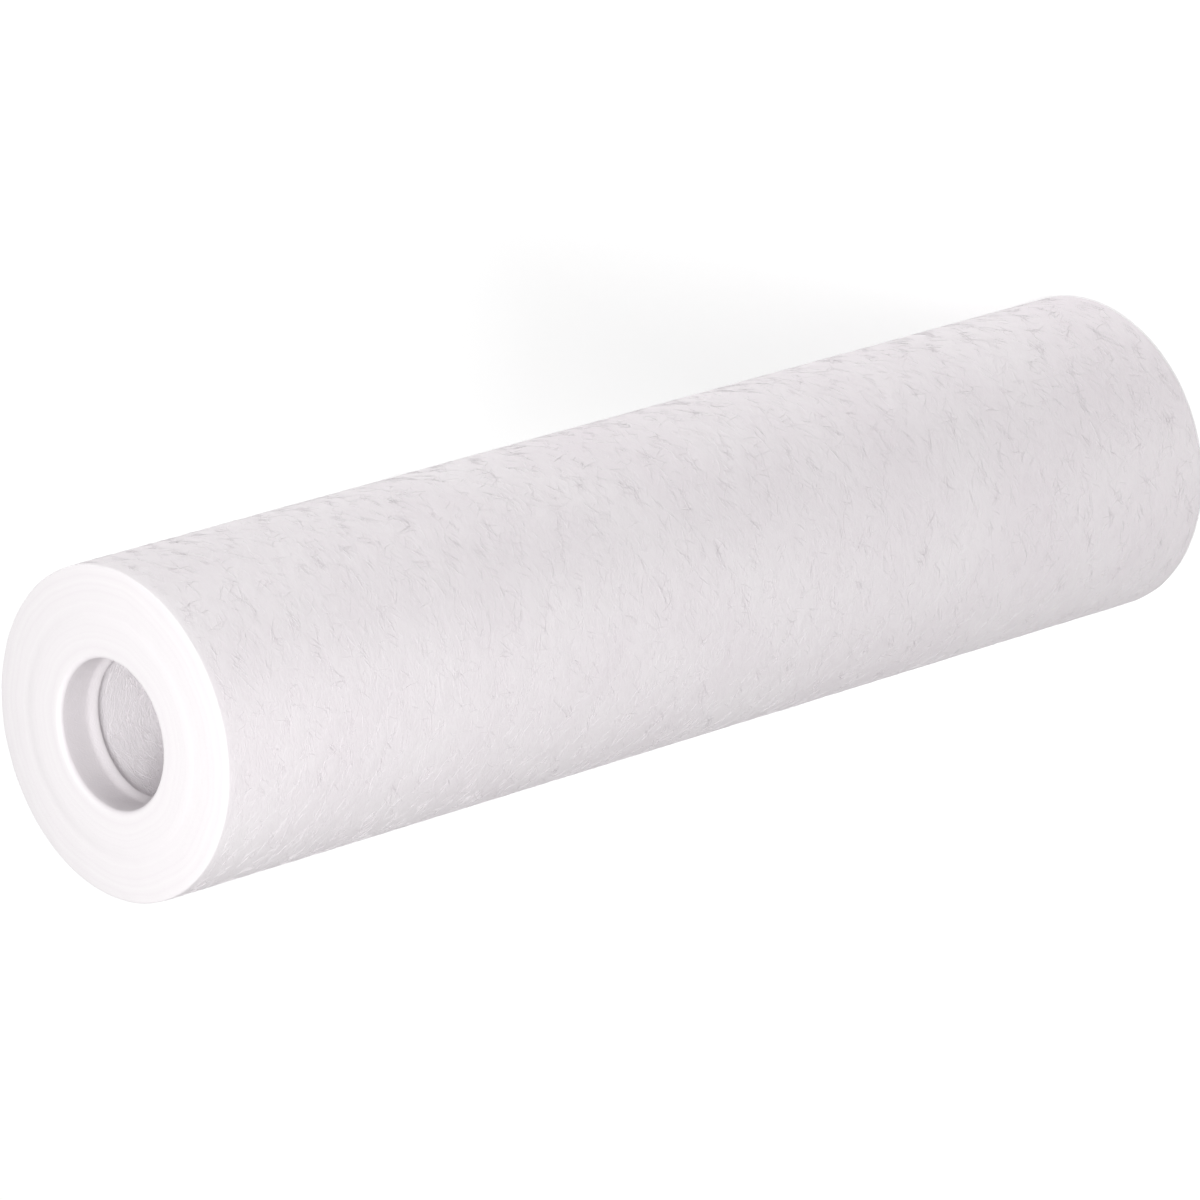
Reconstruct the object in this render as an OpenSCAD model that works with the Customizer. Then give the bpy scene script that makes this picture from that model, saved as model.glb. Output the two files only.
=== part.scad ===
// Melt-blown sediment filter cartridge, open at both ends.
// One blown body of polypropylene fibre, standing on one end with its bore upright.
// The origin is the centre of the bottom end, and both ends are alike.

/* [Body] */
// Length over both ends
body_length = 254; // [120:1:520]
// Outside diameter
body_d = 62.2; // [60:0.1:120]
// Radius of the rim where the side meets each end
rim_r = 0.4; // [0.2:0.1:1.5]
// How far each end falls away in a shallow crown from the foot of its seat to the rim
crown_drop = 0.45; // [0.1:0.05:1.5]

/* [Pressed seat] */
// Diameter of the raised seat at each end, across the foot of its shoulder
boss_d = 45.6; // [42:0.1:54]
// Height of the seat above its foot
boss_height = 0.25; // [0.1:0.05:1]
// Width of the seat's rounded shoulder
shoulder_w = 2.5; // [1:0.1:3]

/* [Bore] */
// Bore diameter
bore_d = 28; // [20:0.1:32]
// Radius of the rounded mouth at each end of the bore
mouth_r = 1; // [0.2:0.1:1.5]

/* [Ridge in the bore] */
// Depth of the ridge's crest below the seat
ridge_depth = 8.7; // [6:0.1:20]
// Height of the ridge above the bore wall
ridge_height = 0.7; // [0.2:0.1:1.5]
// Length of the slow rise that faces the mouth
ridge_rise = 2.6; // [1:0.1:4]
// Length of the steep fall that faces the middle of the bore
ridge_fall = 0.6; // [0.3:0.1:2]

/* [Hidden] */
body_r = body_d / 2;
boss_r = boss_d / 2;
bore_r = bore_d / 2;
// The crown is an arc that leaves the foot of the seat level and runs smoothly into the rim's arc
crown_w = body_r - rim_r - boss_r;
crown_r = rim_r + (crown_w * crown_w + crown_drop * crown_drop) / (2 * crown_drop);
crown_tilt = asin(crown_w / (crown_r - rim_r));
rim_z = boss_height + crown_drop + rim_r;
// The shoulder is an arc that leaves the flat of the seat level and meets its foot in a fine line
seat_r = boss_r - shoulder_w;
shoulder_r = (shoulder_w * shoulder_w + boss_height * boss_height) / (2 * boss_height);
shoulder_tilt = asin(shoulder_w / shoulder_r);
crest_r = bore_r - ridge_height;
// Steps along each small arc and along each flank of the ridge
arc_steps = 5;
rise_steps = 4;
fall_steps = 2;
round_fn = 128;

// Points of an arc about a centre, from one angle to another
function arc(centre, r, from, to) = [
    for (i = [0 : arc_steps])
    let (a = from + (to - from) * i / arc_steps)
    centre + r * [cos(a), sin(a)]
];

// Points of a smooth S between two points, flat where it starts and ends, without its first point
function s_curve(from, to, steps) = [
    for (i = [1 : steps])
    let (t = i / steps, s = (1 - cos(180 * t)) / 2)
    [from[0] + (to[0] - from[0]) * s, from[1] + (to[1] - from[1]) * t]
];

// The section of one end as [radius, height], from the foot of the side wall round to the bore wall
function end_section() = concat(
    arc([body_r - rim_r, rim_z], rim_r, 0, crown_tilt - 90),
    arc([boss_r, boss_height + crown_r], crown_r, crown_tilt - 90, -90),
    arc([seat_r, shoulder_r], shoulder_r, shoulder_tilt - 90, -90),
    arc([bore_r + mouth_r, mouth_r], mouth_r, -90, -180),
    [[bore_r, ridge_depth - ridge_rise]],
    s_curve([bore_r, ridge_depth - ridge_rise], [crest_r, ridge_depth], rise_steps),
    s_curve([crest_r, ridge_depth], [bore_r, ridge_depth + ridge_fall], fall_steps)
);

// The same section seen from the other end, taken backwards
function other_end(section) = [
    for (i = [len(section) - 1 : -1 : 0])
    [section[i][0], body_length - section[i][1]]
];

module filter_body() {
    color([0.96, 0.95, 0.96])
    rotate_extrude($fn = round_fn)
    polygon(concat(end_section(), other_end(end_section())));
}

filter_body();
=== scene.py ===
"""The looks of a melt-blown sediment filter cartridge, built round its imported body.

The cartridge stands on one end, with its bore along +Z. Sizes are in millimetres until a
mesh is made, where they become metres.
"""

import logging
import math
from dataclasses import dataclass, field
from enum import Enum

import bpy
import numpy as np
from mathutils import Matrix, Vector


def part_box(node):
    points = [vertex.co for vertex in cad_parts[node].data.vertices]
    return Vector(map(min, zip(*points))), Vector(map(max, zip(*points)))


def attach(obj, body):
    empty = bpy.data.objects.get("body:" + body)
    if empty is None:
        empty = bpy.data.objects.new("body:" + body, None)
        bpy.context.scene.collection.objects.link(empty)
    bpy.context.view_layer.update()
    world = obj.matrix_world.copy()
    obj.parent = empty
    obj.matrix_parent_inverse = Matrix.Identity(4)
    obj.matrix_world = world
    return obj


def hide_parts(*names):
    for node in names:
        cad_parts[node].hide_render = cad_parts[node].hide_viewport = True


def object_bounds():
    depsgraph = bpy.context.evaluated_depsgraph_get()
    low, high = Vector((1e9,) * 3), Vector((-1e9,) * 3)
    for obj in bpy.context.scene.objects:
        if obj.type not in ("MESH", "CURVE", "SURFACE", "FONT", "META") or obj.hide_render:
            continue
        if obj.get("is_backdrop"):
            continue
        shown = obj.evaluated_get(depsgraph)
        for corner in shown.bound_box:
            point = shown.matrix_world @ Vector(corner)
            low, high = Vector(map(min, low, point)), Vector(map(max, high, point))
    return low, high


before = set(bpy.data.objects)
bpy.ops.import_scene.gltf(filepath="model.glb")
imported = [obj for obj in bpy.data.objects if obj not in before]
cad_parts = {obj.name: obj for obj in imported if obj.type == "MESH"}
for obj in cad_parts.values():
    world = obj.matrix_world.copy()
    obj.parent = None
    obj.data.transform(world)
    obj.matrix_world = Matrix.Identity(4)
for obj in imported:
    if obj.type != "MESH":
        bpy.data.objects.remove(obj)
CAD_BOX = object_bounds()

LOG = logging.getLogger("cartridge")
MM = 0.001
BODY_NODE = "filter_body"
BAKE_MAP = "OFBake"
FIBRE_SHADE = "fibre_shade"


def linear(colour: str) -> tuple[float, float, float, float]:
    """Turns an sRGB hex colour to linear light.

    Args:
        colour: six hex digits, such as "f4f0f2".

    Returns:
        Red, green, blue and an alpha of 1.
    """
    parts = [int(colour[i : i + 2], 16) / 255 for i in (0, 2, 4)]
    light = [c / 12.92 if c <= 0.04045 else ((c + 0.055) / 1.055) ** 2.4 for c in parts]
    return (*light, 1.0)


def per_metre(size_mm: float) -> float:
    """Gives the texture scale, in repeats per metre, of a pattern with features of a real size."""
    return 1000.0 / size_mm


def add_node(
    tree: bpy.types.NodeTree, kind: str, inputs: dict | None = None, **settings: object
) -> bpy.types.Node:
    """Adds a shader node with its settings and links.

    Args:
        tree: the node tree that takes the node.
        kind: Blender's type name of the node.
        inputs: a value or an output socket for each input, by name or by number.
        settings: the node's own properties.

    Returns:
        The new node.
    """
    node = tree.nodes.new(kind)
    for name, value in settings.items():
        setattr(node, name, value)
    for name, value in (inputs or {}).items():
        if isinstance(value, bpy.types.NodeSocket):
            tree.links.new(value, node.inputs[name])
        else:
            node.inputs[name].default_value = value
    return node


def empty_material(name: str) -> tuple[bpy.types.Material, bpy.types.NodeTree]:
    """Makes a material with an empty node tree, and returns both."""
    material = bpy.data.materials.new(name)
    material.use_nodes = True
    material.node_tree.nodes.clear()
    return material, material.node_tree


@dataclass(frozen=True)
class BlownFelt:
    """Melt-blown polypropylene felt, as it comes off the mandrel: white, matte, finely tangled.

    The polymer's IOR is 1.49. The tangle scatters light before it gets far, which gives the eye
    a soft white with fine short strokes in it, faint warm clouds and no gloss.
    """

    name: str = "blown_polypropylene_felt"
    colour: str = "f6f2f4"
    shade: str = "ece4e9"
    roughness: float = 0.9
    stroke_mm: float = 1.5
    stroke_stretch: float = 2.6
    grain_mm: float = 0.5
    cloud_mm: float = 24.0
    bump_mm: float = 0.08
    bump_share: float = 0.5

    def build(self) -> bpy.types.Material:
        """Builds the material.

        The height is the largest of three ridged noises, 1 - |2n - 1| to a power, whose thin
        crests cross like fibres, over a fine grain. Squeezed X and Y lay the crests round the
        body. Real fibres are a tenth as thick: they are drawn as coarse as the render can show.

        Returns:
            The material.
        """
        material, tree = empty_material(self.name)
        place = add_node(tree, "ShaderNodeTexCoord").outputs["Object"]
        crests: list[bpy.types.NodeSocket] = []
        for turn, share in enumerate((1.0, 0.72, 1.31)):
            scale = per_metre(self.stroke_mm * share)
            laid = add_node(
                tree,
                "ShaderNodeMapping",
                {
                    "Vector": place,
                    "Location": (0.37 * turn, 0.11 * turn, 0.23 * turn),
                    "Rotation": (0.35 * (turn - 1), 0.3 * (1 - turn), 0.0),
                    "Scale": (scale / self.stroke_stretch, scale / self.stroke_stretch, scale),
                },
            )
            noise = add_node(
                tree,
                "ShaderNodeTexNoise",
                {"Vector": laid.outputs[0], "Scale": 1.0, "Detail": 1.5, "Distortion": 0.8},
            )
            swing = add_node(
                tree,
                "ShaderNodeMath",
                {0: noise.outputs["Fac"], 1: 2.0, 2: -1.0},
                operation="MULTIPLY_ADD",
            )
            size = add_node(tree, "ShaderNodeMath", {0: swing.outputs[0]}, operation="ABSOLUTE")
            ridge = add_node(
                tree, "ShaderNodeMath", {0: 1.0, 1: size.outputs[0]}, operation="SUBTRACT"
            )
            thin = add_node(
                tree, "ShaderNodeMath", {0: ridge.outputs[0], 1: 9.0}, operation="POWER"
            )
            crests.append(thin.outputs[0])
        tangle = crests[0]
        for crest in crests[1:]:
            tangle = add_node(
                tree, "ShaderNodeMath", {0: tangle, 1: crest}, operation="MAXIMUM"
            ).outputs[0]
        grain = add_node(
            tree,
            "ShaderNodeTexNoise",
            {"Vector": place, "Scale": per_metre(self.grain_mm), "Detail": 2.0},
        )
        height = add_node(
            tree,
            "ShaderNodeMath",
            {0: grain.outputs["Fac"], 1: 0.5, 2: tangle},
            operation="MULTIPLY_ADD",
        )
        bump = add_node(
            tree,
            "ShaderNodeBump",
            {
                "Height": height.outputs[0],
                "Distance": self.bump_mm * MM,
                "Strength": self.bump_share,
            },
        )
        cloud = add_node(
            tree,
            "ShaderNodeTexNoise",
            {"Vector": place, "Scale": per_metre(self.cloud_mm), "Detail": 3.0},
        )
        # Colour mix: the cloud noise is the felt's own warm tint, varying at random; a quarter of the
        # tangle is taken off it, so the crests come out lighter and the hollows between them darker,
        # which is painted shade in the hollows.
        cloud_tone_and_hollow_shade = add_node(
            tree,
            "ShaderNodeMath",
            {0: tangle, 1: -0.25, 2: cloud.outputs["Fac"]},
            operation="MULTIPLY_ADD",
        )
        colour = add_node(
            tree,
            "ShaderNodeMix",
            {"Factor": cloud_tone_and_hollow_shade.outputs[0], "A": linear(self.colour), "B": linear(self.shade)},
            data_type="RGBA",
        )
        shader = add_node(
            tree,
            "ShaderNodeBsdfPrincipled",
            {
                "Base Color": colour.outputs["Result"],
                "Roughness": self.roughness,
                "IOR": 1.49,
                "Normal": bump.outputs[0],
            },
        )
        add_node(tree, "ShaderNodeOutputMaterial", {"Surface": shader.outputs[0]})
        return material


@dataclass(frozen=True)
class PressedSkin:
    """Polypropylene fibre that a hot tool pressed flat: half melted, smooth and a little waxy.

    The layers in which the body was blown show on the cut as faint rings round the axis, and
    flattened fibres as faint strokes. The collar's greyer pair of colours is painted shade on the
    dim wall inside the bore's mouth.
    """

    name: str
    colour: str
    shade: str
    roughness: float = 0.62
    ring_mm: float = 1.1
    stroke_mm: float = 1.3
    bump_mm: float = 0.07

    def build(self) -> bpy.types.Material:
        """Builds the material, from noise over the distance to the axis and one distorted noise.

        Returns:
            The material.
        """
        material, tree = empty_material(self.name)
        place = add_node(tree, "ShaderNodeTexCoord").outputs["Object"]
        flat = add_node(
            tree,
            "ShaderNodeVectorMath",
            {0: place, 1: (1.0, 1.0, 0.0)},
            operation="MULTIPLY",
        )
        off_axis = add_node(
            tree, "ShaderNodeVectorMath", {0: flat.outputs[0]}, operation="LENGTH"
        )
        wander = add_node(
            tree, "ShaderNodeTexNoise", {"Vector": place, "Scale": per_metre(9.0), "Detail": 1.0}
        )
        bent = add_node(
            tree,
            "ShaderNodeMath",
            {0: wander.outputs["Fac"], 1: 1.5 * MM, 2: off_axis.outputs["Value"]},
            operation="MULTIPLY_ADD",
        )
        rings = add_node(
            tree,
            "ShaderNodeTexNoise",
            {"W": bent.outputs[0], "Scale": per_metre(self.ring_mm), "Detail": 2.0},
            noise_dimensions="1D",
        )
        strokes = add_node(
            tree,
            "ShaderNodeTexNoise",
            {
                "Vector": place,
                "Scale": per_metre(self.stroke_mm),
                "Detail": 2.0,
                "Distortion": 2.5,
            },
        )
        height = add_node(
            tree,
            "ShaderNodeMath",
            {0: rings.outputs["Fac"], 1: 0.35, 2: strokes.outputs["Fac"]},
            operation="MULTIPLY_ADD",
        )
        bump = add_node(
            tree,
            "ShaderNodeBump",
            {"Height": height.outputs[0], "Distance": self.bump_mm * MM, "Strength": 0.6},
        )
        colour = add_node(
            tree,
            "ShaderNodeMix",
            {
                "Factor": rings.outputs["Fac"],
                "A": linear(self.colour),
                "B": linear(self.shade),
            },
            data_type="RGBA",
        )
        shader = add_node(
            tree,
            "ShaderNodeBsdfPrincipled",
            {
                "Base Color": colour.outputs["Result"],
                "Roughness": self.roughness,
                "IOR": 1.49,
                "Normal": bump.outputs[0],
            },
        )
        add_node(tree, "ShaderNodeOutputMaterial", {"Surface": shader.outputs[0]})
        return material


@dataclass(frozen=True)
class LooseFibre:
    """A single coarse polypropylene fibre, drawn by hot air: smooth, with a faint sheen.

    Fibres lie at different depths in the tangle, and each has its own tone between two whites, picked
    at random. Both whites are painted lighter than the felt: a painted highlight that offsets the
    shade under and beside the fibres.
    """

    name: str = "drawn_polypropylene_fibre"
    # Both whites are lighter than the felt's: a painted highlight that offsets the shade under the
    # fibres.
    colour: str = "f8f5f7"
    shade: str = "f3eef1"
    roughness: float = 0.6

    def build(self) -> bpy.types.Material:
        """Builds the material, whose tone is read from each fibre's own shade."""
        material, tree = empty_material(self.name)
        tone = add_node(tree, "ShaderNodeAttribute", attribute_name=FIBRE_SHADE)
        colour = add_node(
            tree,
            "ShaderNodeMix",
            {"Factor": tone.outputs["Fac"], "A": linear(self.colour), "B": linear(self.shade)},
            data_type="RGBA",
        )
        shader = add_node(
            tree,
            "ShaderNodeBsdfPrincipled",
            {"Base Color": colour.outputs["Result"], "Roughness": self.roughness, "IOR": 1.49},
        )
        add_node(tree, "ShaderNodeOutputMaterial", {"Surface": shader.outputs[0]})
        return material


class Finish(Enum):
    """The finishes of the body, in the order of its material slots."""

    SIDE = 0
    PRESSED_END = 1
    COLLAR = 2
    BORE = 3

    def build(self) -> bpy.types.Material:
        """Builds the finish's material."""
        return {
            Finish.SIDE: BlownFelt(),
            Finish.PRESSED_END: PressedSkin("hot_pressed_polypropylene", "f7f4f5", "f1ecef"),
            # The collar's colours are greyer than the end's: painted shade on the dim wall inside the
            # bore's mouth.
            Finish.COLLAR: PressedSkin("polypropylene_collar_painted_shade", "eeeaec", "e7e2e5", 0.5),
            # The bore's felt is painted lighter than the side's: painted light, standing in for the
            # light that passes through the translucent wall into the bore.
            Finish.BORE: BlownFelt(
                name="blown_polypropylene_bore_painted_light", colour="faf7f9", shade="f3eef1", stroke_mm=1.1
            ),
        }[self].build()


class Stretch(Enum):
    """The stretches of the section, from the middle of the bore to the middle of the side.

    Each value is the stretch's place in the section, its finish, and the share of the felt's
    relief on it.
    """

    BORE = (0, Finish.BORE, 1.0)
    # The ridge takes the collar's greyer colours too: painted shade inside the bore's mouth.
    RIDGE = (1, Finish.COLLAR, 0.35)
    COLLAR = (2, Finish.COLLAR, 0.3)
    MOUTH = (3, Finish.PRESSED_END, 0.15)
    SEAT = (4, Finish.PRESSED_END, 0.0)
    SHOULDER = (5, Finish.PRESSED_END, 0.25)
    CROWN = (6, Finish.PRESSED_END, 0.6)
    RIM = (7, Finish.PRESSED_END, 0.5)
    SIDE = (8, Finish.SIDE, 1.0)

    @property
    def finish(self) -> Finish:
        """The finish of this stretch."""
        return self.value[1]

    @property
    def relief(self) -> float:
        """The share of the felt's relief on this stretch."""
        return self.value[2]


def line(start: tuple[float, float], end: tuple[float, float], spacing: float) -> np.ndarray:
    """Gives points on a straight line, as far apart as the spacing at most."""
    count = max(1, math.ceil(math.dist(start, end) / spacing))
    share = np.linspace(0.0, 1.0, count + 1)[:, None]
    return np.asarray(start) * (1 - share) + np.asarray(end) * share


def arc(
    centre: tuple[float, float], radius: float, first: float, last: float, count: int
) -> np.ndarray:
    """Gives points on an arc, centre + radius (cos a, sin a), for angles in degrees."""
    angle = np.radians(np.linspace(first, last, count + 1))
    return np.asarray(centre) + radius * np.stack([np.cos(angle), np.sin(angle)], axis=1)


def s_curve(start: tuple[float, float], end: tuple[float, float], count: int) -> np.ndarray:
    """Gives points on half a cosine wave, level at both ends: r by (1 - cos pi t) / 2, z by t."""
    share = np.linspace(0.0, 1.0, count + 1)
    swing = (1 - np.cos(math.pi * share)) / 2
    return np.stack(
        [start[0] + (end[0] - start[0]) * swing, start[1] + (end[1] - start[1]) * share], axis=1
    )


@dataclass(frozen=True)
class EndSection:
    """The section of one end in millimetres, as [radius, depth below the end's plane]."""

    body_r: float
    body_length: float
    boss_r: float = 22.8
    boss_height: float = 0.25
    shoulder_w: float = 2.5
    rim_r: float = 0.4
    crown_drop: float = 0.45
    bore_r: float = 14.0
    mouth_r: float = 1.0
    ridge_depth: float = 8.7
    ridge_height: float = 0.7
    ridge_rise: float = 2.6
    ridge_fall: float = 0.6
    side_spacing: float = 1.26
    deep_spacing: float = 5.0
    fine_depth: float = 42.0

    def stretches(self) -> dict[Stretch, np.ndarray]:
        """Works out the points of each stretch, from mid bore to mid side.

        The shoulder is an arc that leaves the seat level, and the crown one that leaves the foot
        of the shoulder level and runs smoothly into the rim's arc. Such an arc's radius, less
        the rim's for the crown, is (w * w + d * d) / (2 d), for a width w and a drop d.

        Returns:
            The points of each stretch, whose first point is the last of the stretch before.
        """
        middle = self.body_length / 2
        seat_r = self.boss_r - self.shoulder_w
        shoulder = (self.shoulder_w**2 + self.boss_height**2) / (2 * self.boss_height)
        shoulder_tilt = math.degrees(math.asin(self.shoulder_w / shoulder))
        crown_w = self.body_r - self.rim_r - self.boss_r
        swing = (crown_w**2 + self.crown_drop**2) / (2 * self.crown_drop)
        tilt = math.degrees(math.asin(crown_w / swing))
        rim_z = self.boss_height + self.crown_drop + self.rim_r
        crest = (self.bore_r - self.ridge_height, self.ridge_depth)
        foot = (self.bore_r, self.ridge_depth + self.ridge_fall)
        rise = (self.bore_r, self.ridge_depth - self.ridge_rise)
        fine = (self.bore_r, self.fine_depth)
        bore = [line((self.bore_r, middle), fine, self.deep_spacing), line(fine, foot, 1.5)[1:]]
        return {
            Stretch.BORE: np.concatenate(bore),
            Stretch.RIDGE: np.concatenate([s_curve(foot, crest, 4), s_curve(crest, rise, 7)[1:]]),
            Stretch.COLLAR: line(rise, (self.bore_r, self.mouth_r), 1.2),
            Stretch.MOUTH: arc((self.bore_r + self.mouth_r, self.mouth_r), self.mouth_r, 180, 270, 5),
            Stretch.SEAT: line((self.bore_r + self.mouth_r, 0.0), (seat_r, 0.0), 0.95),
            Stretch.SHOULDER: arc((seat_r, shoulder), shoulder, -90, shoulder_tilt - 90, 5),
            Stretch.CROWN: arc(
                (self.boss_r, self.boss_height + swing + self.rim_r),
                swing + self.rim_r,
                -90,
                tilt - 90,
                8,
            ),
            Stretch.RIM: arc((self.body_r - self.rim_r, rim_z), self.rim_r, tilt - 90, 0, 4),
            Stretch.SIDE: line((self.body_r, rim_z), (self.body_r, middle), self.side_spacing),
        }


@dataclass
class Surface:
    """The whole section, up the bore's upper half, round the outside and back to mid bore.

    Attributes:
        points: radius and height of each row, in millimetres.
        normals: the outward normal of each row, as radius and height.
        along: the distance from the first row along the section.
        strips: the stretch of the strip between each row and the next.
    """

    points: np.ndarray
    normals: np.ndarray
    along: np.ndarray
    strips: list[Stretch]

    @classmethod
    def from_section(cls, section: EndSection) -> "Surface":
        """Joins the top end's section to the bottom end's, which is the same one turned over.

        Args:
            section: the section of one end.

        Returns:
            The closed section, without a second copy of its first row.
        """
        half, strips = [], []
        for stretch, points in section.stretches().items():
            half.append(points[1:] if half else points)
            strips += [stretch] * (len(points) - 1)
        lower = np.concatenate(half)
        upper = np.stack([lower[:, 0], section.body_length - lower[:, 1]], axis=1)
        points = np.concatenate([upper, lower[::-1][1:-1]])
        step = np.roll(points, -1, axis=0) - np.roll(points, 1, axis=0)
        step /= np.linalg.norm(step, axis=1, keepdims=True)
        normals = np.stack([-step[:, 1], step[:, 0]], axis=1)
        gaps = np.linalg.norm(np.diff(points, axis=0), axis=1)
        along = np.concatenate([[0.0], np.cumsum(gaps)])
        return cls(points, normals, along, strips + strips[::-1])


@dataclass
class FilterBody:
    """The blown body: the section turned round the axis, with the felt's low relief on it."""

    section: EndSection
    around: int = 256
    relief_mm: float = 0.025
    hoop_waves: tuple[int, int] = (2, 26)
    along_mm: tuple[float, float] = (3.4, 11.0)
    wave_count: int = 64
    map_gap_mm: float = 3.0
    seed: int = 11
    surface: Surface = field(init=False)

    def __post_init__(self) -> None:
        """Works out the closed section."""
        self.surface = Surface.from_section(self.section)

    def felt(self, angle: np.ndarray) -> np.ndarray:
        """Works out the relief of the felt, which has a mean square of one.

        It is a sum of waves cos(m a + k s + p), with a whole number m of waves round the body, a
        wavelength along the section from the stated span and a random phase.

        Args:
            angle: the angle of each column.

        Returns:
            The relief at each row and column.
        """
        rng = np.random.default_rng(self.seed)
        hoop = rng.integers(*self.hoop_waves, self.wave_count)
        along = 2 * math.pi / rng.uniform(*self.along_mm, self.wave_count)
        along *= rng.choice([-1.0, 1.0], self.wave_count)
        phase = rng.uniform(0, 2 * math.pi, self.wave_count)
        rows = np.exp(1j * (self.surface.along[:, None] * along + phase))
        columns = np.exp(1j * angle[:, None] * hoop)
        return (rows @ columns.T).real * math.sqrt(2 / self.wave_count)

    def bake_map(self) -> np.ndarray:
        """Lays the surface out flat, at one scale for all of it.

        The side, the bore and the two ends are four islands: the side and the bore stand beside
        each other with their heights as they are, and the ends lie above them as strips.

        Returns:
            The place of each quad's four corners on the map.
        """
        surface, rows = self.surface, len(self.surface.points)
        length, gap = self.section.body_length, self.map_gap_mm
        outside = 2 * math.pi * self.section.body_r
        bore = 2 * math.pi * self.section.bore_r
        kind = np.array([strip.finish.value for strip in surface.strips])
        is_side, is_bore = kind == Finish.SIDE.value, kind == Finish.BORE.value
        is_top = (np.arange(rows) < rows / 2) & ~is_side & ~is_bore
        ends = np.array([surface.along, np.append(surface.along[1:], surface.along[-1])])
        heights = np.array([surface.points[:, 1], np.roll(surface.points[:, 1], -1)])
        top_start = surface.along[is_top].min()
        low_start = surface.along[~is_top & ~is_side & ~is_bore].min()
        strip_h = ends[1][is_top].max() - top_start
        v = np.where(
            is_side | is_bore,
            heights,
            np.where(
                is_top,
                length + gap + ends - top_start,
                length + 2 * gap + strip_h + ends - low_start,
            ),
        )
        width = np.where(is_bore, bore, outside)
        left = np.where(is_bore, outside + gap, 0.0)
        share = np.linspace(0.0, 1.0, self.around + 1)
        u = left[:, None] + width[:, None] * share
        corners = np.empty((rows, self.around, 4, 2))
        corners[:, :, (0, 1), 0] = u[:, :-1, None]
        corners[:, :, (2, 3), 0] = u[:, 1:, None]
        corners[:, :, (0, 3), 1] = v[0][:, None, None]
        corners[:, :, (1, 2), 1] = v[1][:, None, None]
        size = max(outside + bore + 2 * gap, length + 2 * strip_h + 4 * gap)
        return (corners.reshape(-1, 2) + gap / 2) / size

    def mesh(self) -> bpy.types.Object:
        """Builds the body, each point being the section's plus the relief along its normal.

        Returns:
            The body's object, with a material slot for each finish.
        """
        surface = self.surface
        angle = np.linspace(0, 2 * math.pi, self.around, endpoint=False)
        share = np.array([strip.relief for strip in surface.strips])
        share = (share + np.roll(share, 1)) / 2
        lift = self.felt(angle) * share[:, None] * self.relief_mm
        radius = surface.points[:, :1] + surface.normals[:, :1] * lift
        height = surface.points[:, 1:] + surface.normals[:, 1:] * lift
        grid = np.stack([radius * np.cos(angle), radius * np.sin(angle), height], axis=-1)
        index = np.arange(grid[..., 0].size).reshape(grid.shape[:2])
        beside, below = np.roll(index, -1, axis=1), np.roll(index, -1, axis=0)
        quads = np.stack([index, below, np.roll(below, -1, axis=1), beside], axis=-1)
        body = mesh_object("blown_body", grid.reshape(-1, 3) * MM, [quads.reshape(-1, 4)])
        kind = np.array([strip.finish.value for strip in surface.strips], dtype=np.int32)
        body.data.polygons.foreach_set("material_index", np.repeat(kind, self.around))
        set_map(body, self.bake_map())
        for finish in Finish:
            body.data.materials.append(finish.build())
        return body


@dataclass(frozen=True)
class FibreBed:
    """A stretch of wall that fibres lie on.

    Attributes:
        wall_r: the wall's radius.
        low, high: the heights that the fibres stay between.
        facing: 1 where the wall faces away from the axis, -1 where it faces it.
        share: the part of a piece's fibres that lies here.
    """

    wall_r: float
    low: float
    high: float
    facing: int
    share: float


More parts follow.
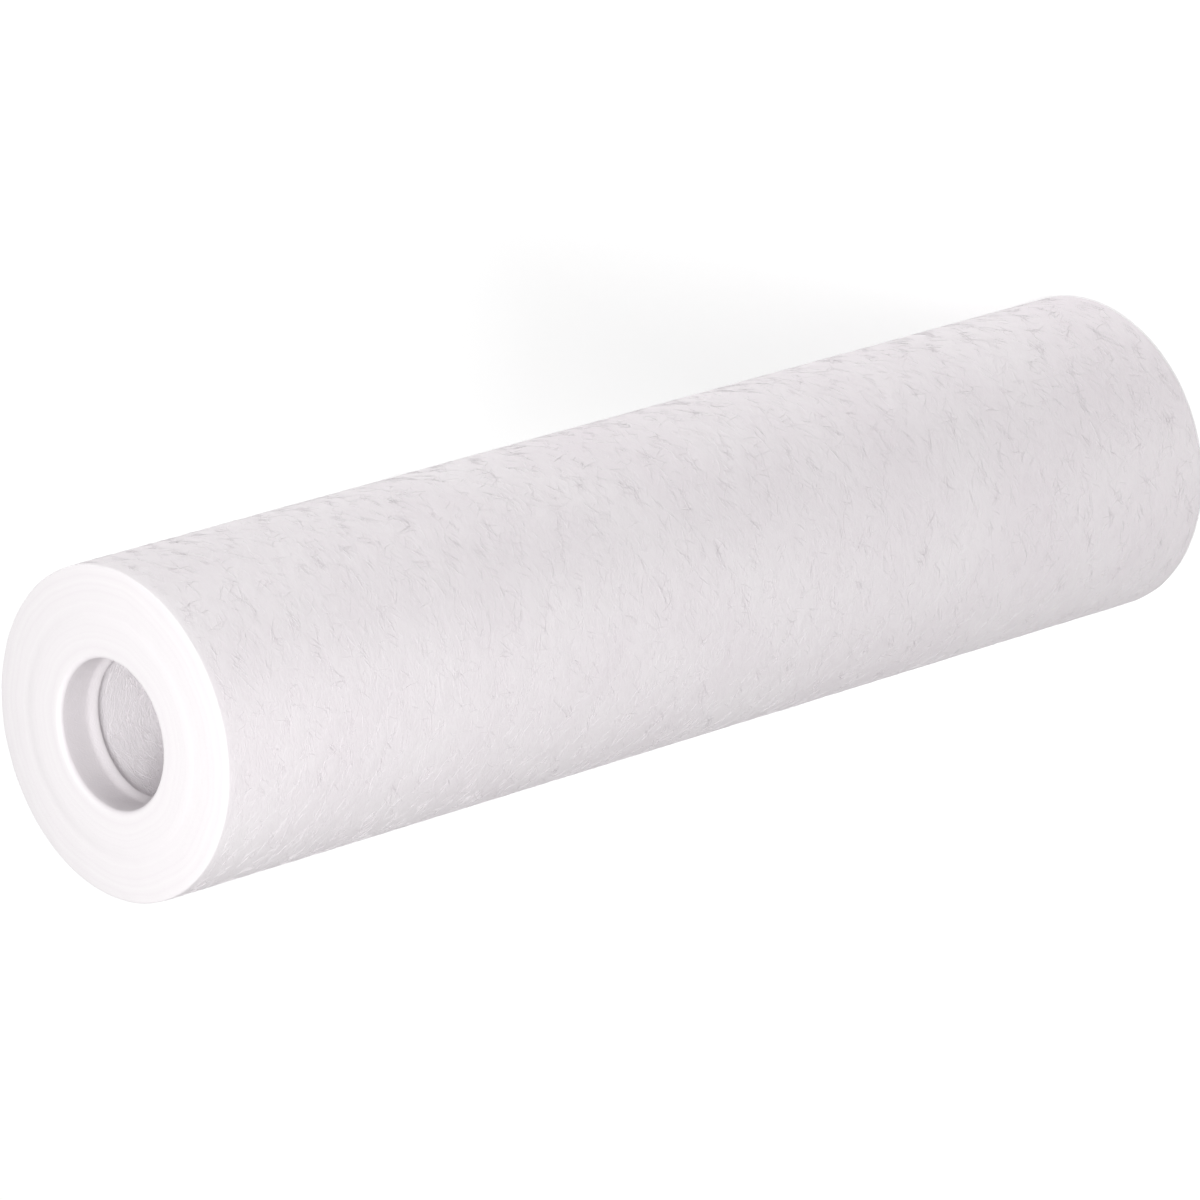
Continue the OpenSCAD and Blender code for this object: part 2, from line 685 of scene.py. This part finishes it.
@dataclass
class LooseFibres:
    """Coarse fibres on the walls, each a thin closed tube that dips into the felt at both ends.

    Most run nearly round the body, as the turning mandrel laid them, and wander as they go.
    """

    beds: tuple[FibreBed, ...]
    count: int = 5200
    steps: int = 6
    sides: int = 3
    length_mm: tuple[float, float] = (3.0, 10.0)
    fibre_r: tuple[float, float] = (0.028, 0.048)
    heading_deg: float = 30.0
    wander_deg: float = 12.0
    lift_mm: float = 0.02
    dip_mm: float = 0.12
    stray_share: float = 0.003
    stray_mm: float = 0.3

    def paths(
        self, bed: FibreBed, count: int, rng: np.random.Generator
    ) -> tuple[np.ndarray, np.ndarray, np.ndarray]:
        """Works out the middle lines of the fibres of one bed.

        A path goes forward by equal steps on the unrolled wall, and its heading changes by a
        random angle at each. Its height over the wall is a half sine wave less the dip.

        Args:
            bed: the wall that the fibres lie on.
            count: the number of fibres.
            rng: the source of random numbers.

        Returns:
            The points of each path, the outward direction at each, and the way each leads.
        """
        turn = np.radians(rng.normal(0, self.wander_deg, (count, self.steps + 1)))
        heading = np.radians(rng.normal(0, self.heading_deg, (count, 1))) + np.cumsum(turn, 1)
        step = rng.uniform(*self.length_mm, (count, 1)) / self.steps
        across = np.cumsum(np.cos(heading) * step, 1)
        upward = np.cumsum(np.sin(heading) * step, 1)
        angle = rng.uniform(0, 2 * math.pi, (count, 1)) + (across - across[:, :1]) / bed.wall_r
        height = rng.uniform(bed.low, bed.high, (count, 1)) + upward - upward.mean(1)[:, None]
        height = np.clip(height, bed.low, bed.high)
        share = np.linspace(0.0, 1.0, self.steps + 1)
        lift = self.lift_mm * rng.uniform(0.2, 1.8, (count, 1))
        stray = rng.random((count, 1)) < self.stray_share
        lift = np.where(stray, self.stray_mm * rng.uniform(0.4, 1.4, (count, 1)), lift)
        over = (lift + self.dip_mm) * np.sin(math.pi * share) ** 0.6 - self.dip_mm
        outward = bed.facing * np.stack(
            [np.cos(angle), np.sin(angle), np.zeros_like(angle)], axis=-1
        )
        radius = bed.wall_r + bed.facing * over
        points = np.stack([radius * np.cos(angle), radius * np.sin(angle), height], axis=-1)
        ahead = np.gradient(points, axis=1)
        return points, outward, ahead / np.linalg.norm(ahead, axis=2, keepdims=True)

    def mesh(self, name: str, seed: int) -> bpy.types.Object:
        """Builds one piece of fibres: three-sided tubes round the paths, closed at both ends.

        Args:
            name: the piece's name.
            seed: the seed of the random numbers.

        Returns:
            The piece, whose map gives each fibre a cell of its own.
        """
        rng = np.random.default_rng(seed)
        laid = [self.paths(bed, round(self.count * bed.share), rng) for bed in self.beds]
        points, outward, ahead = (np.concatenate(parts) for parts in zip(*laid))
        beside = np.cross(ahead, outward)
        beside /= np.linalg.norm(beside, axis=2, keepdims=True)
        above = np.cross(beside, ahead)
        count = len(points)
        thick = rng.uniform(*self.fibre_r, (count, 1, 1, 1))
        turn = math.pi / 2 + 2 * math.pi * np.arange(self.sides) / self.sides
        ring = above[:, :, None] * np.sin(turn)[:, None] + beside[:, :, None] * np.cos(turn)[:, None]
        tube = points[:, :, None] + ring * thick
        index = np.arange(count * (self.steps + 1) * self.sides)
        index = index.reshape(count, self.steps + 1, self.sides)
        side_by = np.roll(index, -1, axis=2)
        quads = np.stack(
            [index[:, :-1], index[:, 1:], side_by[:, 1:], side_by[:, :-1]], axis=-1
        ).reshape(-1, 4)
        caps = np.concatenate([index[:, 0], index[:, -1, ::-1]])
        piece = mesh_object(name, tube.reshape(-1, 3) * MM, [quads, caps])
        tone = piece.data.attributes.new(FIBRE_SHADE, "FLOAT", "POINT")
        shade = np.repeat(rng.random(count).astype(np.float32), (self.steps + 1) * self.sides)
        tone.data.foreach_set("value", shade)
        set_map(piece, self.bake_map(count))
        return piece

    def bake_map(self, count: int) -> np.ndarray:
        """Gives each fibre a square cell of the map, its tube unrolled there with its caps.

        Args:
            count: the number of fibres.

        Returns:
            The place of each corner on the map, the quads' first and then the caps'.
        """
        cells = math.ceil(math.sqrt(count))
        cell = np.stack([np.arange(count) % cells, np.arange(count) // cells], axis=-1)
        step, side = np.meshgrid(np.arange(self.steps), np.arange(self.sides), indexing="ij")
        low = np.stack([step, side], axis=-1)[:, :, None]
        turns = np.array([[0, 0], [1, 0], [1, 1], [0, 1]])
        quads = 0.1 + 0.6 * (low + turns) / (self.steps, self.sides)
        cap = 0.8 + 0.1 * np.array([[0, 0], [1, 0], [0, 1]])
        caps = np.stack([cap, cap[::-1] - (0.0, 0.4)])
        quads = cell[:, None, None, None] + quads
        caps = np.concatenate([cell[:, None] + part for part in caps])
        return np.concatenate([quads.reshape(-1, 2), caps.reshape(-1, 2)]) / cells


def mesh_object(name: str, points: np.ndarray, faces: list[np.ndarray]) -> bpy.types.Object:
    """Makes a smooth-shaded object at the origin.

    Args:
        name: the object's name.
        points: the vertices, in metres.
        faces: arrays of faces, each with faces of one number of corners.

    Returns:
        The object, linked to the scene.
    """
    mesh = bpy.data.meshes.new(name)
    corners = np.concatenate([group.ravel() for group in faces]).astype(np.int32)
    sizes = np.concatenate([np.full(len(group), group.shape[1]) for group in faces])
    starts = np.concatenate([[0], np.cumsum(sizes)[:-1]]).astype(np.int32)
    mesh.vertices.add(len(points))
    mesh.vertices.foreach_set("co", points.astype(np.float32).ravel())
    mesh.loops.add(len(corners))
    mesh.loops.foreach_set("vertex_index", corners)
    mesh.polygons.add(len(starts))
    mesh.polygons.foreach_set("loop_start", starts)
    mesh.update(calc_edges=True)
    mesh.shade_smooth()
    piece = bpy.data.objects.new(name, mesh)
    bpy.context.scene.collection.objects.link(piece)
    return piece


def set_map(piece: bpy.types.Object, places: np.ndarray) -> None:
    """Gives a piece its map, from the place of each face corner."""
    layer = piece.data.uv_layers.new(name=BAKE_MAP)
    layer.uv.foreach_set("vector", places.astype(np.float32).ravel())


@dataclass(frozen=True)
class Lamp:
    """A round soft lamp, placed round the middle of the cartridge.

    The bearing is counted from the camera's side towards the lower edge of the picture, and the
    climb from the horizon, both in degrees. The distance and size are in metres.
    """

    name: str
    bearing: float
    climb: float
    distance: float
    size: float
    power: float

    def build(self, target: Vector) -> None:
        """Puts the lamp in the scene, aimed at the target."""
        bearing, climb = math.radians(self.bearing), math.radians(self.climb)
        away = Vector(
            (
                -math.sin(bearing) * math.cos(climb),
                -math.cos(bearing) * math.cos(climb),
                math.sin(climb),
            )
        )
        light = bpy.data.lights.new(self.name, "AREA")
        light.shape = "DISK"
        light.size = self.size
        light.energy = self.power
        lamp = bpy.data.objects.new(self.name, light)
        lamp.location = target + away * self.distance
        lamp.rotation_euler = (-away).to_track_quat("-Z", "Y").to_euler()
        lamp.visible_camera = False
        bpy.context.scene.collection.objects.link(lamp)


@dataclass
class Studio:
    """A pale floor, soft lamps, a plain sky and the camera that the photograph was taken with.

    Attributes:
        focal_px: the lens, in pixels of the 1200 pixel picture.
        axis_in_view: the way from the top end to the bottom end, as right, down and forward.
        top_in_view: the middle of the top end from the camera, in millimetres, likewise.
    """

    body_length: float
    picture_px: int = 1200
    sensor_mm: float = 36.0
    focal_px: float = 8936.0
    axis_in_view: tuple[float, float, float] = (0.7236, -0.2117, 0.6570)
    top_in_view: tuple[float, float, float] = (-87.5, 24.2, 1595.2)
    sky: float = 0.4
    floor_m: float = 30.0
    floor_colour: str = "f2f2f2"
    floor_lift: float = 0.45
    lamps: tuple[Lamp, ...] = (
        Lamp("key", 20, 58, 0.75, 0.3, 3.5),
        Lamp("upper_fill", -105, 5, 0.9, 0.5, 3.5),
    )

    def camera(self) -> bpy.types.Object:
        """Places the camera so that the standing cartridge shows as it lies in the photograph.

        Forward has no X part, and the right vector follows from the parts of the axis in view.

        Returns:
            The camera.
        """
        across, down_part, ahead = Vector(self.axis_in_view).normalized()
        forward = Vector((0.0, math.sqrt(1 - ahead**2), -ahead))
        right = Vector((down_part / forward.y, across * forward.z / forward.y, -across))
        right.normalize()
        down = forward.cross(right)
        x, y, z = self.top_in_view
        place = Vector((0, 0, self.body_length)) - (right * x + down * y + forward * z)
        data = bpy.data.cameras.new("camera")
        data.sensor_width = self.sensor_mm
        data.lens = self.focal_px / self.picture_px * self.sensor_mm
        camera = bpy.data.objects.new("camera", data)
        turn = Matrix((right, -down, -forward)).transposed().to_4x4()
        camera.matrix_world = Matrix.Translation(place * MM) @ turn
        bpy.context.scene.collection.objects.link(camera)
        bpy.context.scene.camera = camera
        return camera

    def world(self) -> None:
        """Gives an even sky, which the camera and reflections see as white."""
        world = bpy.data.worlds.new("studio_sky")
        world.use_nodes = True
        tree = world.node_tree
        tree.nodes.clear()
        path = add_node(tree, "ShaderNodeLightPath")
        seen = path.outputs["Is Camera Ray"]
        for ray in ("Is Glossy Ray", "Is Transmission Ray"):
            seen = add_node(
                tree, "ShaderNodeMath", {0: seen, 1: path.outputs[ray]}, operation="MAXIMUM"
            ).outputs[0]
        strength = add_node(
            tree,
            "ShaderNodeMath",
            {0: seen, 1: 1.0 - self.sky, 2: self.sky},
            operation="MULTIPLY_ADD",
        )
        light = add_node(
            tree,
            "ShaderNodeBackground",
            {"Color": linear("ffffff"), "Strength": strength.outputs[0]},
        )
        add_node(tree, "ShaderNodeOutputWorld", {"Surface": light.outputs[0]})
        bpy.context.scene.world = world

    def floor(self) -> bpy.types.Object:
        """Lays the floor, which keeps the shadow and is lifted to white for the camera alone."""
        half = self.floor_m / 2
        corners = np.array([[-half, -half, 0], [half, -half, 0], [half, half, 0], [-half, half, 0]])
        floor = mesh_object("floor", corners, [np.array([[0, 1, 2, 3]])])
        material, tree = empty_material("studio_paper")
        path = add_node(tree, "ShaderNodeLightPath")
        lift = add_node(
            tree,
            "ShaderNodeMath",
            {0: path.outputs["Is Camera Ray"], 1: self.floor_lift},
            operation="MULTIPLY",
        )
        paper = add_node(tree, "ShaderNodeBsdfDiffuse", {"Color": linear(self.floor_colour)})
        glow = add_node(
            tree,
            "ShaderNodeEmission",
            {"Color": linear("ffffff"), "Strength": lift.outputs[0]},
        )
        both = add_node(tree, "ShaderNodeAddShader", {0: paper.outputs[0], 1: glow.outputs[0]})
        add_node(tree, "ShaderNodeOutputMaterial", {"Surface": both.outputs[0]})
        floor.data.materials.append(material)
        floor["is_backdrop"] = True
        return floor

    def build(self) -> None:
        """Builds the camera, the floor, the sky and the lamps."""
        self.camera()
        self.floor()
        self.world()
        middle = Vector((0, 0, self.body_length * MM / 2))
        for lamp in self.lamps:
            lamp.build(middle)
        bpy.context.scene.view_settings.view_transform = "Standard"


@dataclass
class Cartridge:
    """The whole cartridge: its blown body and the loose fibres on its walls."""

    section: EndSection
    fibre_pieces: int = 4
    fibre_margin: float = 1.2
    bore_reach: float = 34.0
    bore_share: float = 0.05
    seed: int = 40

    def build(self) -> None:
        """Builds the pieces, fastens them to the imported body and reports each."""
        body = FilterBody(self.section).mesh()
        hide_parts(BODY_NODE)
        self.fasten(body)
        fibres = LooseFibres(self.beds())
        finish = LooseFibre().build()
        for number in range(1, self.fibre_pieces + 1):
            piece = fibres.mesh(f"surface_fibres_{number}", self.seed + number)
            piece.data.materials.append(finish)
            self.fasten(piece)

    def beds(self) -> tuple[FibreBed, ...]:
        """Names the walls that fibres lie on: the side, and the bore behind each ridge."""
        section, length = self.section, self.section.body_length
        start = section.ridge_depth + section.ridge_fall + self.fibre_margin
        reach, share = self.bore_reach, self.bore_share
        low = section.boss_height + section.crown_drop + section.rim_r + self.fibre_margin
        return (
            FibreBed(section.body_r, low, length - low, 1, 1 - 2 * share),
            FibreBed(section.bore_r, start, reach, -1, share),
            FibreBed(section.bore_r, length - reach, length - start, -1, share),
        )

    def fasten(self, piece: bpy.types.Object) -> None:
        """Makes a piece ride on the body and logs its triangles."""
        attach(piece, "root")
        piece.data.calc_loop_triangles()
        LOG.info("%s: %d triangles", piece.name, len(piece.data.loop_triangles))


def main() -> None:
    """Builds the studio and the cartridge."""
    logging.basicConfig(level=logging.INFO, format="%(message)s")
    low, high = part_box(BODY_NODE)
    section = EndSection(body_r=high.x / MM, body_length=(high.z - low.z) / MM)
    Studio(section.body_length).build()
    Cartridge(section).build()
    boxes = {"cad": CAD_BOX, "visual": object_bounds()}
    {name: [list(corner) for corner in box] for name, box in boxes.items()}


if __name__ == "__main__":
    main()
